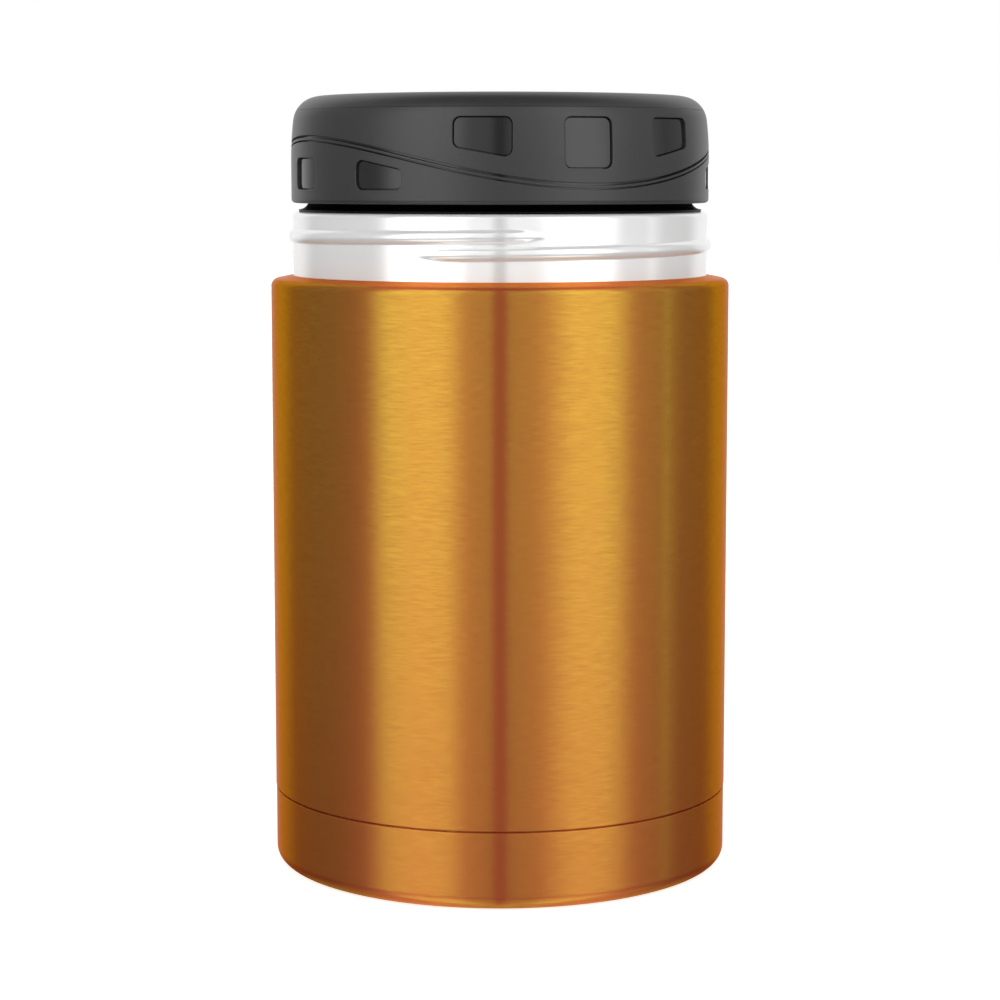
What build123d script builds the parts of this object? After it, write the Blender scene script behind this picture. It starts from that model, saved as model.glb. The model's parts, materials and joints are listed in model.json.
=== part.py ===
"""Insulated food jar: a vacuum-walled steel jar with a screw-in stopper lid.

Millimetres, +Z up. The origin is the middle of the base, on the plane that the jar stands on.
Heights named ..._Z are measured from that plane, and angles are counter-clockwise seen from above.
"""

import os
from math import cos, pi, radians, sin, sqrt, tan

from build123d import *

# --- Jar body -------------------------------------------------------------------------------
BODY_R = 47.5  # coated shell, outside
SHELL_WALL = 0.6
SHOULDER_Z = 122.15  # where the body wall and the shoulder would meet in a sharp corner
SHOULDER_SLOPE = 10.8  # degrees above level, rising towards the neck
SHOULDER_CORNER_R = 1.6
SEAM_Z = 15.9  # middle of the gap between shell and base cup
SEAM_GAP = 0.4

# --- Base cup -------------------------------------------------------------------------------
CUP_INSET = 0.1  # how far the cup's side stands inside the shell's
CUP_WALL = 0.5
CUP_CORNER_R = 2.85
FOOT_WIDTH = 8.0  # flat ring that the jar stands on, beside the corner
FOOT_RECESS = 1.0  # how far the middle of the base is raised
RECESS_RUN = 2.0  # width of the slope between foot and recess
SKIRT_CLEARANCE = 0.4  # between the shell's lower end and the cup's corner

# --- Neck and mouth -------------------------------------------------------------------------
SHOULDER_WIDTH = 4.55  # from the body's side to the neck
NECK_WALL = 0.6
NECK_LAP = 2.0  # how far the neck reaches down inside the shoulder
NECK_HEIGHT = 13.0  # from the neck's foot to the rim
RIM_OUTER_CORNER_R = 1.0
RIM_INNER_CORNER_R = 0.9
RIM_WIDTH = 3.45  # from the neck's outside to the mouth
MOUTH_TURN_DOWN = 3.0  # length of the ring's inner wall, welded to the liner

# --- Rolled thread on the outside of the neck, for a cover cup -------------------------------
BEAD_PROUD = 0.85
BEAD_WIDTH = 2.6
BEAD_LEAD = 3.35
BEAD_START_HEIGHT = 5.2  # above the neck's foot
BEAD_START_ANGLE = -111.0
BEAD_ARC = 392.0

# --- Food chamber ---------------------------------------------------------------------------
VACUUM_GAP = 5.4  # between shell and liner
LINER_WALL = 0.5
CHAMBER_FLOOR_Z = 16.5
LINER_NECK_LENGTH = 14.5  # straight mouth wall, measured down from the rim
LINER_TAPER = 3.0  # height over which the mouth widens to the chamber
LINER_BEND_R = 2.5
FLOOR_CORNER_R = 8.0
FLOOR_CROWN = 1.2
FLOOR_CROWN_R = 24.0
FLOOR_CROWN_RUN = 4.0
LINER_WELD_HEIGHT = 12.0  # of the weld between wall and bottom, above the chamber's floor
FOIL_WALL = 0.12
FOIL_MARGIN = 3.0  # bare liner above and below the foil

# --- Vacuum closure -------------------------------------------------------------------------
CLOSURE_HEIGHT = 3.4  # from the shell's lower end to the top of the closure plate
CLOSURE_WALL = 0.6
CLOSURE_CORNER_R = 2.0
DIMPLE_R = 8.0
DIMPLE_RISE = 1.2
DIMPLE_RUN = 1.5
PORT_R = 1.2
PORT_SEAL_R = 3.5
PORT_SEAL_THICKNESS = 1.0
PORT_SEAL_EDGE_R = 0.8
GETTER_R = 5.0
GETTER_HEIGHT = 2.5
GETTER_INSET = 22.3  # from the closure plate's side to the middle of the pill
STRAP_WIDTH = 4.0
STRAP_WALL = 0.4
STRAP_FOOT = 4.0

# --- Inner thread: one bead rolled into the liner, one moulded on the plug --------------------
STOPPER_LEAD = 4.0
INNER_THREAD_ARC = 340.0
INNER_THREAD_ANGLE = 20.0  # where both beads start
LINER_BEAD_R = 1.2
LINER_BEAD_PROUD = 1.0
PLUG_BEAD_R = 0.9
PLUG_BEAD_PROUD = 1.1
LINER_BEAD_DEPTH = 10.5  # start of the liner's bead below the rim

# --- Lid ------------------------------------------------------------------------------------
LID_GAP = 1.8  # between rim and lid, filled by the seal
LID_OVERHANG = 0.2  # how far the lid's side stands outside the neck's
LID_EDGE_R = 0.8
LID_STRAIGHT = 8.7  # height of the upright part of the side
LID_SIDE_R = 70.0  # radius of the side's inward curve
LID_CORNER_R = 5.5
BAND_HEIGHT = 18.8  # sleeve, from the lid's lower edge to the top cover
COVER_RISE = 2.9  # top cover, above the sleeve
COVER_PART = 0.16  # gap between sleeve and top cover
LID_SKIN = 1.1
DISH_R = 30.0
DISH_DEPTH = 0.5
DISH_CORNER_R = 0.4
CORE_WALL = 2.0

# --- Wave round the lid's side ----------------------------------------------------------------
WAVE_HEIGHT = 8.62  # middle of the wave above the lid's lower edge
WAVE_AMPLITUDE = 4.72
WAVE_CREST_ANGLE = 205.2
UPPER_LINE = 0.4
LOWER_LINE = 0.28
LINE_PITCH = 0.9  # between the middles of the two lines

# --- Windows ----------------------------------------------------------------------------------
WINDOW_CORNER_R = 1.5
HIGH_WINDOW_MARGIN = 1.9  # between the high windows and the top cover
HIGH_GROUP_ANGLE = -66.4  # middle of the first group above the wave
HIGH_SIDE_SPACING = 28.1
HIGH_MIDDLE_WIDTH = 13.5
HIGH_SIDE_WIDTH = 15.4
HIGH_MIDDLE_GAP = 3.0  # between window and wave
HIGH_SIDE_GAP = 3.9
LOW_WINDOW_MARGIN = 2.8  # between the low windows and the lid's lower edge
LOW_GROUP_ANGLE = 204.7  # middle of the first group below the wave
LOW_SIDE_SPACING = 31.8
LOW_MIDDLE_WIDTH = 13.5
LOW_SIDE_WIDTH = 14.5
LOW_MIDDLE_GAP = 4.2
LOW_SIDE_GAP = 2.8
PAD_CLEARANCE = 0.15  # round the core's raised pad in each window
PAD_INSET = 0.35  # from the lid's outside to the pad's face

# --- Stopper ----------------------------------------------------------------------------------
PLUG_CLEARANCE = 1.5  # between plug and mouth, where the two thread beads run
PLUG_WALL = 2.0
PLUG_DEPTH = 24.0  # from the rim to the plug's lower end
PLUG_FLANGE = 3.2
BASE_THICKNESS = 2.0
BASE_EDGE_R = 1.2
SPIGOT_HEIGHT = 3.0
SPIGOT_WALL = 1.6
JOINT_RING_SIDE = 1.2
SEAL_CLEARANCE = 0.3  # round the plug
SEAL_LIP_INSET = 1.3  # from the neck's outside to the seal's lip
SEAL_LIP_THICKNESS = 0.45
SEAL_FLARE = 1.95  # how far the lip reaches out past the seal's top
SEAL_FLARE_R = 2.2
FOAM_CLEARANCE = 0.8  # round the foam
FOAM_RUN_CLEARANCE = 0.4  # under the foam with the lid unscrewed
TURNS_TO_OPEN = 1.0

# --- Construction -----------------------------------------------------------------------------
OVERRUN = 8.0  # how far a cutting shape reaches past what it cuts
FILLET_SHARE = 0.4  # most of a window's side that one corner may round

# --- Places worked out from the sizes above ---------------------------------------------------
NECK_R = BODY_R - SHOULDER_WIDTH
MOUTH_R = NECK_R - RIM_WIDTH
CHAMBER_R = BODY_R - SHELL_WALL - VACUUM_GAP - LINER_WALL
LID_R = NECK_R + LID_OVERHANG
PLUG_R = MOUTH_R - PLUG_CLEARANCE
CUP_R = BODY_R - CUP_INSET
SKIRT_R = CUP_R - CUP_WALL
SKIRT_Z = CUP_CORNER_R + SKIRT_CLEARANCE
STEP_Z = SEAM_Z + SEAM_GAP / 2
CUP_TOP_Z = SEAM_Z - SEAM_GAP / 2
NECK_FOOT_Z = SHOULDER_Z + SHOULDER_WIDTH * tan(radians(SHOULDER_SLOPE))
RIM_Z = NECK_FOOT_Z + NECK_HEIGHT
MOUTH_WELD_Z = RIM_Z - MOUTH_TURN_DOWN
LINER_NECK_Z = RIM_Z - LINER_NECK_LENGTH
LINER_WELD_Z = CHAMBER_FLOOR_Z + LINER_WELD_HEIGHT
LINER_OUTER_R = CHAMBER_R + LINER_WALL
CLOSURE_Z = SKIRT_Z + CLOSURE_HEIGHT
CLOSURE_R = SKIRT_R - SHELL_WALL
GETTER_X = CLOSURE_R - GETTER_INSET
LID_Z = RIM_Z + LID_GAP
PART_Z = LID_Z + BAND_HEIGHT
LID_TOP_Z = PART_Z + COVER_RISE
CORE_R = LID_R - LID_SKIN
CORE_BORE_R = CORE_R - CORE_WALL
CEILING_Z = LID_TOP_Z - LID_SKIN - CORE_WALL
PLUG_Z = RIM_Z - PLUG_DEPTH
PLUG_WALL_Z = PLUG_Z + BASE_THICKNESS
PLUG_BORE_R = PLUG_R - PLUG_WALL
SPIGOT_TOP_Z = PLUG_WALL_Z + SPIGOT_HEIGHT
LID_RISE = STOPPER_LEAD * TURNS_TO_OPEN
FOAM_Z = SPIGOT_TOP_Z + LID_RISE + FOAM_RUN_CLEARANCE
WAVE_Z = LID_Z + WAVE_HEIGHT


# --- Shapes that several pieces share -----------------------------------------------------------


def rounded(points, radii):
    """A flat face with straight sides, from its corners and the fillet at each."""
    entries, exits, ways = [], [], []
    for i, radius in enumerate(radii):
        before, here, after = (Vector(*points[k % len(points)]) for k in (i - 1, i, i + 1))
        way_in = (here - before).normalized()
        way_out = (after - here).normalized()
        reach = radius * tan(radians(way_in.get_angle(way_out) / 2))
        entries.append(here - way_in * reach)
        exits.append(here + way_out * reach)
        ways.append(way_in)
    edges = []
    for i, radius in enumerate(radii):
        edges.append(Line(exits[i - 1], entries[i]))
        if radius:
            edges.append(TangentArc(entries[i], exits[i], tangent=ways[i]))
    return make_face(edges)


def turned(points, radii):
    """A solid of revolution about Z from a closed outline of (radius, height) corners, each with its fillet."""
    return revolve(Plane.XZ * rounded(points, radii), Axis.Z)


def ring(inner_r, outer_r, low_z, high_z):
    """A plain ring, or a disc where inner_r is 0."""
    corners = [(inner_r, low_z), (outer_r, low_z), (outer_r, high_z), (inner_r, high_z)]
    return turned(corners, [0, 0, 0, 0])


def far_face(path, radii, wall):
    """The path of a bent sheet's other face, to the left of the given one, and the fillets of its bends.

    There is one radius for each bend, and a bend of radius 0 is sharp on both faces.
    """
    ways = [(Vector(*b) - Vector(*a)).normalized() for a, b in zip(path, path[1:])]
    lefts = [Vector(-way.Y, way.X) for way in ways]
    far = [Vector(*path[0]) + lefts[0] * wall]
    far_radii = []
    for corner, before, after, radius in zip(path[1:-1], lefts, lefts[1:], radii):
        far.append(Vector(*corner) + (before + after) * (wall / (1 + before.dot(after))))
        bends_left = before.X * after.Y - before.Y * after.X > 0
        far_radius = max(radius - wall, 0) if bends_left else radius + wall
        far_radii.append(far_radius if radius else 0)
    far.append(Vector(*path[-1]) + lefts[-1] * wall)
    return [(v.X, v.Y) for v in far], far_radii


def sheet_outline(path, radii, wall):
    """The closed outline of a bent sheet, and its fillets."""
    far, far_radii = far_face(path, radii, wall)
    return [*path, *reversed(far)], [0, *radii, 0, 0, *reversed(far_radii), 0]


def turned_sheet(path, radii, wall):
    """A spun or pressed round piece of even wall."""
    return turned(*sheet_outline(path, radii, wall))


def space_within(path, radii, overrun=0.0):
    """What a downward path encloses when it is turned about Z, longer by overrun at both ends."""
    (top_r, top_z), (low_r, low_z) = path[0], path[-1]
    top_z += overrun
    low_z -= overrun
    corners = [(0, top_z), (top_r, top_z), *path[1:-1], (low_r, low_z), (0, low_z)]
    return turned(corners, [0, 0, *radii, 0, 0])


def helical_rod(centre_r, rod_r, lead, arc, start_z, start_angle):
    """A round rod along a right-handed helix, with ball ends."""
    path = Rot(0, 0, start_angle) * Helix(pitch=lead, height=lead * arc / 360, radius=centre_r)
    path = Pos(0, 0, start_z) * path
    rod = sweep(Plane(origin=path @ 0, z_dir=path % 0) * Circle(rod_r), path=path, is_frenet=True)
    for end in (path @ 0, path @ 1):
        rod = rod + Pos(end) * Sphere(rod_r)
    return rod


def wave_block(below_upper_line):
    """Everything under the wave, lowered from the middle of its upper line.

    Its top is a saddle, because an upright cylinder cuts a saddle along a wave with two crests. The saddle is a
    two-way parabola, as a patch of three by three control points, and it is wider than the lid.
    """
    half_side = LID_R + OVERRUN
    reach = WAVE_AMPLITUDE * (half_side / LID_R) ** 2
    steps = (-1, 0, 1)
    rise = {-1: reach, 0: -reach, 1: reach}
    controls = [[(half_side * i, half_side * j, rise[i] - rise[j]) for j in steps] for i in steps]
    saddle = Rot(0, 0, WAVE_CREST_ANGLE) * Face.make_bezier_surface(controls)
    depth = 2 * (reach + WAVE_HEIGHT)
    return Pos(0, 0, WAVE_Z - below_upper_line) * Solid.extrude(saddle, Vector(0, 0, -depth))


def wave_z(angle):
    """Height of the wave's upper line at an angle on the lid's side."""
    return WAVE_Z + WAVE_AMPLITUDE * cos(2 * radians(angle - WAVE_CREST_ANGLE))


# --- Jar ----------------------------------------------------------------------------------------


def make_outer_shell():
    """Body wall and shoulder in one, stepped in at the foot."""
    path = [
        (SKIRT_R, SKIRT_Z),
        (SKIRT_R, STEP_Z),
        (BODY_R, STEP_Z),
        (BODY_R, SHOULDER_Z),
        (NECK_R, NECK_FOOT_Z),
    ]
    outline, radii = sheet_outline(path, [0, 0, SHOULDER_CORNER_R], SHELL_WALL)
    # The shoulder's inner edge is cut upright, flush with the neck.
    lip_thickness = SHELL_WALL / cos(radians(SHOULDER_SLOPE))
    outline[len(path)] = (NECK_R, NECK_FOOT_Z - lip_thickness)
    return turned(outline, radii)


def make_neck_shell():
    """Mouth ring: the threaded outer wall, turned over at the rim and down into the mouth."""
    path = [
        (NECK_R, NECK_FOOT_Z - NECK_LAP),
        (NECK_R, RIM_Z),
        (MOUTH_R, RIM_Z),
        (MOUTH_R, MOUTH_WELD_Z),
    ]
    neck = turned_sheet(path, [RIM_OUTER_CORNER_R, RIM_INNER_CORNER_R], NECK_WALL)
    half_width = BEAD_WIDTH / 2
    rod_r = (half_width**2 + BEAD_PROUD**2) / (2 * BEAD_PROUD)
    place = (BEAD_LEAD, BEAD_ARC, NECK_FOOT_Z + BEAD_START_HEIGHT, BEAD_START_ANGLE)
    centre_r = NECK_R + BEAD_PROUD - rod_r
    bead = helical_rod(centre_r, rod_r, *place) - ring(0, NECK_R - NECK_WALL / 2, NECK_FOOT_Z, RIM_Z)
    groove = helical_rod(centre_r, rod_r - NECK_WALL, *place)
    return neck + bead - groove


def make_inner_liner():
    """Chamber wall and mouth, with the rolled inner thread."""
    path = [
        (MOUTH_R, MOUTH_WELD_Z),
        (MOUTH_R, LINER_NECK_Z),
        (CHAMBER_R, LINER_NECK_Z - LINER_TAPER),
        (CHAMBER_R, LINER_WELD_Z),
    ]
    radii = [LINER_BEND_R, LINER_BEND_R]
    outside, outside_radii = far_face(path, radii, LINER_WALL)
    centre_r = MOUTH_R - LINER_BEAD_PROUD + LINER_BEAD_R
    place = (STOPPER_LEAD, INNER_THREAD_ARC, RIM_Z - LINER_BEAD_DEPTH, INNER_THREAD_ANGLE)
    form = space_within(outside, outside_radii) - helical_rod(centre_r, LINER_BEAD_R - LINER_WALL, *place)
    food_space = space_within(path, radii, OVERRUN) - helical_rod(centre_r, LINER_BEAD_R, *place)
    return form - food_space


def make_liner_bottom():
    """Pressed chamber bottom with a raised middle."""
    path = [
        (CHAMBER_R, LINER_WELD_Z),
        (CHAMBER_R, CHAMBER_FLOOR_Z),
        (FLOOR_CROWN_R + FLOOR_CROWN_RUN, CHAMBER_FLOOR_Z),
        (FLOOR_CROWN_R, CHAMBER_FLOOR_Z + FLOOR_CROWN),
        (0, CHAMBER_FLOOR_Z + FLOOR_CROWN),
    ]
    return turned_sheet(path, [FLOOR_CORNER_R, FLOOR_CROWN_RUN, FLOOR_CROWN_RUN], LINER_WALL)


def make_insulation_foil():
    """Foil wrapped round the chamber wall, between the weld and the mouth's taper."""
    low_z = LINER_WELD_Z + FOIL_MARGIN
    high_z = LINER_NECK_Z - LINER_TAPER - FOIL_MARGIN
    return ring(LINER_OUTER_R, LINER_OUTER_R + FOIL_WALL, low_z, high_z)


def make_vacuum_bottom():
    """Closure plate with a dimple round the pumping port."""
    path = [
        (CLOSURE_R, SKIRT_Z),
        (CLOSURE_R, CLOSURE_Z),
        (DIMPLE_R, CLOSURE_Z),
        (DIMPLE_R - DIMPLE_RUN, CLOSURE_Z + DIMPLE_RISE),
        (PORT_R, CLOSURE_Z + DIMPLE_RISE),
    ]
    return turned_sheet(path, [CLOSURE_CORNER_R, 0, 0], CLOSURE_WALL)


def make_evacuation_seal():
    """Glass bead: a stem in the port and a round head in the dimple below it."""
    plate_z = CLOSURE_Z + DIMPLE_RISE
    head_z = plate_z - CLOSURE_WALL
    corners = [
        (0, head_z - PORT_SEAL_THICKNESS),
        (PORT_SEAL_R, head_z - PORT_SEAL_THICKNESS),
        (PORT_SEAL_R, head_z),
        (PORT_R, head_z),
        (PORT_R, plate_z),
        (0, plate_z),
    ]
    return turned(corners, [0, PORT_SEAL_EDGE_R, 0, 0, 0, 0])


def make_getter():
    """Pill that lies on the closure plate."""
    return Pos(GETTER_X, 0, CLOSURE_Z) * extrude(Circle(GETTER_R), GETTER_HEIGHT)


def make_getter_strap():
    """Strip bent over the pill, with a foot on the plate at each side."""
    half_span = GETTER_R
    path = [
        (-half_span - STRAP_FOOT, 0),
        (-half_span, 0),
        (-half_span, GETTER_HEIGHT),
        (half_span, GETTER_HEIGHT),
        (half_span, 0),
        (half_span + STRAP_FOOT, 0),
    ]
    corners, radii = sheet_outline(path, [0, 0, 0, 0], STRAP_WALL)
    strip = Plane.XZ * rounded(corners, radii)
    return Pos(GETTER_X, STRAP_WIDTH / 2, CLOSURE_Z) * extrude(strip, STRAP_WIDTH)


def make_base_cup():
    """Coated cup over the foot of the shell, with a raised middle inside the ring it stands on."""
    foot_inner_r = CUP_R - CUP_CORNER_R - FOOT_WIDTH
    path = [
        (0, FOOT_RECESS),
        (foot_inner_r - RECESS_RUN, FOOT_RECESS),
        (foot_inner_r, 0),
        (CUP_R, 0),
        (CUP_R, CUP_TOP_Z),
    ]
    return turned_sheet(path, [RECESS_RUN, RECESS_RUN, CUP_CORNER_R], CUP_WALL)


# --- Lid ----------------------------------------------------------------------------------------


def lid_form(inset, edge_r=0.0):
    """The lid's whole outer form as a solid, taken in evenly by inset at its side and top.

    The side is upright, then leans in on a large arc, and a smaller arc turns it into the flat top. Each arc is
    tangent to the next.
    """
    side_r = LID_R - inset
    top_z = LID_TOP_Z - inset
    big_r = LID_SIDE_R - inset
    small_r = LID_CORNER_R - inset
    bend_z = LID_Z + LID_STRAIGHT
    big_x = side_r - big_r
    small_z = top_z - small_r
    reach = big_r - small_r
    small_x = big_x + sqrt(reach**2 - (small_z - bend_z) ** 2)
    lean = (small_x - big_x) / reach
    rise = (small_z - bend_z) / reach
    meet = (big_x + big_r * lean, bend_z + big_r * rise)
    outline = [
        Line((0, LID_Z), (side_r - edge_r, LID_Z)),
        Line((side_r, LID_Z + edge_r), (side_r, bend_z)),
        TangentArc((side_r, bend_z), meet, tangent=(0, 1)),
        TangentArc(meet, (small_x, top_z), tangent=(-rise, lean)),
        Line((small_x, top_z), (0, top_z)),
        Line((0, top_z), (0, LID_Z)),
    ]
    if edge_r:
        outline.insert(1, TangentArc((side_r - edge_r, LID_Z), (side_r, LID_Z + edge_r), tangent=(1, 0)))
    return revolve(Plane.XZ * make_face(outline), Axis.Z)


def lid_skin():
    """The lid's outermost layer, which the sleeves, the wave strip and the top cover are cut from."""
    return lid_form(0, LID_EDGE_R) - lid_form(LID_SKIN)


def lid_slab(low_z, high_z):
    """A disc wider than the lid, between two heights."""
    return ring(0, LID_R + OVERRUN, low_z, high_z)


def window(angle, width, corners_z, clearance):
    """A radial cutter for one window: its middle angle, its width in degrees, and four corner heights.

    The heights are given from the lower left corner counter-clockwise, seen from outside. The cutter is
    smaller than the window by the clearance all round.
    """
    half = LID_R * sin(radians(width / 2))
    low_left, low_right, high_right, high_left = corners_z
    outline = [(-half, low_left), (half, low_right), (half, high_right), (-half, high_left)]
    shortest_side = min(high_left - low_left, high_right - low_right, 2 * half)
    corner_r = min(WINDOW_CORNER_R, FILLET_SHARE * shortest_side)
    out = Vector(cos(radians(angle)), sin(radians(angle)), 0)
    side = Vector(-sin(radians(angle)), cos(radians(angle)), 0)
    frame = Plane(origin=out * CORE_BORE_R, x_dir=side, z_dir=out)
    face = rounded(outline, [corner_r] * 4)
    if clearance:
        face = offset(face, -clearance)
    return extrude(frame * face, LID_R + OVERRUN - CORE_BORE_R)


def high_windows(clearance=0.0):
    """The two groups of three above the wave. Their tops are level, and their bottoms follow the wave."""
    cutters = []
    top_z = PART_Z - HIGH_WINDOW_MARGIN
    for turn in (0, 180):
        middle = HIGH_GROUP_ANGLE + turn
        bottom_z = wave_z(WAVE_CREST_ANGLE + 90) + HIGH_MIDDLE_GAP
        cutters.append(window(middle, HIGH_MIDDLE_WIDTH, [bottom_z, bottom_z, top_z, top_z], clearance))
        for side in (-1, 1):
            heights = side_heights(90, side, HIGH_SIDE_SPACING, HIGH_SIDE_WIDTH, HIGH_SIDE_GAP)
            corners_z = [heights[0], heights[1], top_z, top_z]
            place = middle + side * HIGH_SIDE_SPACING
            cutters.append(window(place, HIGH_SIDE_WIDTH, corners_z, clearance))
    return cutters


def low_windows(clearance=0.0):
    """The two groups of three below the wave. Their bottoms are level, and their tops follow the wave."""
    cutters = []
    bottom_z = LID_Z + LOW_WINDOW_MARGIN
    for turn in (0, 180):
        middle = LOW_GROUP_ANGLE + turn
        top_z = wave_z(WAVE_CREST_ANGLE) - LOW_MIDDLE_GAP
        cutters.append(window(middle, LOW_MIDDLE_WIDTH, [bottom_z, bottom_z, top_z, top_z], clearance))
        for side in (-1, 1):
            heights = side_heights(0, side, LOW_SIDE_SPACING, LOW_SIDE_WIDTH, -LOW_SIDE_GAP)
            corners_z = [bottom_z, bottom_z, heights[1], heights[0]]
            cutters.append(window(middle + side * LOW_SIDE_SPACING, LOW_SIDE_WIDTH, corners_z, clearance))
    return cutters


def side_heights(phase, side, spacing, width, gap):
    """Heights of a side window's sloping edge at its lower-angle and higher-angle ends."""
    middle = WAVE_CREST_ANGLE + phase + side * spacing
    return [wave_z(middle - width / 2) + gap, wave_z(middle + width / 2) + gap]


def make_lid_top_cover():
    """Cover above the parting line, with a shallow dish in its top."""
    cover = lid_skin() - lid_slab(LID_Z - OVERRUN, PART_Z + COVER_PART / 2)
    corners = [
        (0, LID_TOP_Z - DISH_DEPTH),
        (DISH_R, LID_TOP_Z - DISH_DEPTH),
        (DISH_R, LID_TOP_Z + OVERRUN),
        (0, LID_TOP_Z + OVERRUN),
    ]
    return cover - turned(corners, [0, DISH_CORNER_R, 0, 0])


def make_lid_upper_shell():
    """Sleeve between the wave and the top cover."""
    above = lid_slab(PART_Z - COVER_PART / 2, LID_TOP_Z + OVERRUN)
    sleeve = lid_skin() - above - wave_block(-UPPER_LINE / 2)
    for cutter in high_windows():
        sleeve = sleeve - cutter
    return sleeve


def make_wave_trim():
    """Thin strip between the two lines of the wave."""
    strip = lid_skin() & wave_block(UPPER_LINE / 2)
    return strip - wave_block(LINE_PITCH - LOWER_LINE / 2)


def make_lid_lower_shell():
    """Sleeve below the wave."""
    sleeve = lid_skin() & wave_block(LINE_PITCH + LOWER_LINE / 2)
    for cutter in low_windows():
        sleeve = sleeve - cutter
    return sleeve


def make_lid_core():
    """Inner cap that carries the sleeves, with a raised pad in each of their windows."""
    hollow = ring(0, CORE_BORE_R, LID_Z - OVERRUN, CEILING_Z)
    core = lid_form(LID_SKIN) - hollow
    pad_form = lid_form(PAD_INSET)
    for pad in high_windows(PAD_CLEARANCE) + low_windows(PAD_CLEARANCE):
        core = core + (pad & pad_form)
    return core


def make_stopper_plug():
    """Plug wall with its flange in the core and one thread bead on its outside."""
    flange_top_z = LID_Z + PLUG_FLANGE
    corners = [
        (PLUG_BORE_R, PLUG_WALL_Z),
        (PLUG_R, PLUG_WALL_Z),
        (PLUG_R, LID_Z),
        (CORE_BORE_R, LID_Z),
        (CORE_BORE_R, flange_top_z),
        (PLUG_BORE_R, flange_top_z),
    ]
    plug = turned(corners, [0] * 6)
    plug = plug - make_lid_joint_ring()
    centre_r = PLUG_R + PLUG_BEAD_PROUD - PLUG_BEAD_R
    start_z = RIM_Z - LINER_BEAD_DEPTH - STOPPER_LEAD / 2
    place = (STOPPER_LEAD, INNER_THREAD_ARC, start_z, INNER_THREAD_ANGLE)
    return plug + helical_rod(centre_r, PLUG_BEAD_R, *place)


def make_stopper_base():
    """Cap welded on the plug's lower end, with a spigot inside the plug's wall."""
    spigot_inner_r = PLUG_BORE_R - SPIGOT_WALL
    corners = [
        (0, PLUG_Z),
        (PLUG_R, PLUG_Z),
        (PLUG_R, PLUG_WALL_Z),
        (PLUG_BORE_R, PLUG_WALL_Z),
        (PLUG_BORE_R, SPIGOT_TOP_Z),
        (spigot_inner_r, SPIGOT_TOP_Z),
        (spigot_inner_r, PLUG_WALL_Z),
        (0, PLUG_WALL_Z),
    ]
    return turned(corners, [0, BASE_EDGE_R, 0, 0, 0, 0, 0, 0])


def make_lid_joint_ring():
    """Square ring in a groove of the plug's flange, against the core."""
    middle_z = LID_Z + PLUG_FLANGE / 2
    half = JOINT_RING_SIDE / 2
    return ring(CORE_BORE_R - JOINT_RING_SIDE, CORE_BORE_R, middle_z - half, middle_z + half)


def make_lid_insulation():
    """Foam block stuck under the core's ceiling. It ends above the spigot."""
    return ring(0, PLUG_BORE_R - FOAM_CLEARANCE, FOAM_Z, CEILING_Z)


def make_rim_seal():
    """Flanged seal: flat on the rim, with a lip that flares out from under the lid."""
    inner_r = PLUG_R + SEAL_CLEARANCE
    lip_r = NECK_R - SEAL_LIP_INSET
    lip = (lip_r, RIM_Z + SEAL_LIP_THICKNESS)
    top = (lip_r - SEAL_FLARE, LID_Z)
    outline = [
        Polyline(top, (inner_r, LID_Z), (inner_r, RIM_Z), (lip_r, RIM_Z), lip),
        RadiusArc(lip, top, SEAL_FLARE_R),
    ]
    return revolve(Plane.XZ * make_face(outline), Axis.Z)


PIECES = {
    "outer_shell": make_outer_shell,
    "neck_shell": make_neck_shell,
    "inner_liner": make_inner_liner,
    "liner_bottom": make_liner_bottom,
    "insulation_foil": make_insulation_foil,
    "vacuum_bottom": make_vacuum_bottom,
    "evacuation_seal": make_evacuation_seal,
    "getter": make_getter,
    "getter_strap": make_getter_strap,
    "base_cup": make_base_cup,
    "lid_top_cover": make_lid_top_cover,
    "lid_upper_shell": make_lid_upper_shell,
    "wave_trim": make_wave_trim,
    "lid_lower_shell": make_lid_lower_shell,
    "lid_core": make_lid_core,
    "stopper_plug": make_stopper_plug,
    "stopper_base": make_stopper_base,
    "lid_joint_ring": make_lid_joint_ring,
    "lid_insulation": make_lid_insulation,
    "rim_seal": make_rim_seal,
}


def main():
    os.makedirs("parts", exist_ok=True)
    for name, make in PIECES.items():
        export_step(make(), f"parts/{name}.step")
    print(f"unscrewing lifts the lid by {LID_RISE} mm, which is {STOPPER_LEAD / (2 * pi):.5f} mm per radian")


main()
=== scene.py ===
"""Looks of an insulated food jar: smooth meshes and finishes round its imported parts.

Sizes in the classes are millimetres and become metres where a mesh is made. Angles are degrees, counter-clockwise
seen from above, with -90 towards the camera.
"""

from __future__ import annotations

import json
import logging
from collections.abc import Callable, Iterable, Sequence
from dataclasses import dataclass, field
from enum import Enum
from functools import partial
from math import asin, atan2, ceil, cos, degrees, hypot, pi, radians, sin, sqrt, tan
from typing import NamedTuple

import bpy
import numpy as np
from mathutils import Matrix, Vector
from mathutils.geometry import delaunay_2d_cdt


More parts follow.
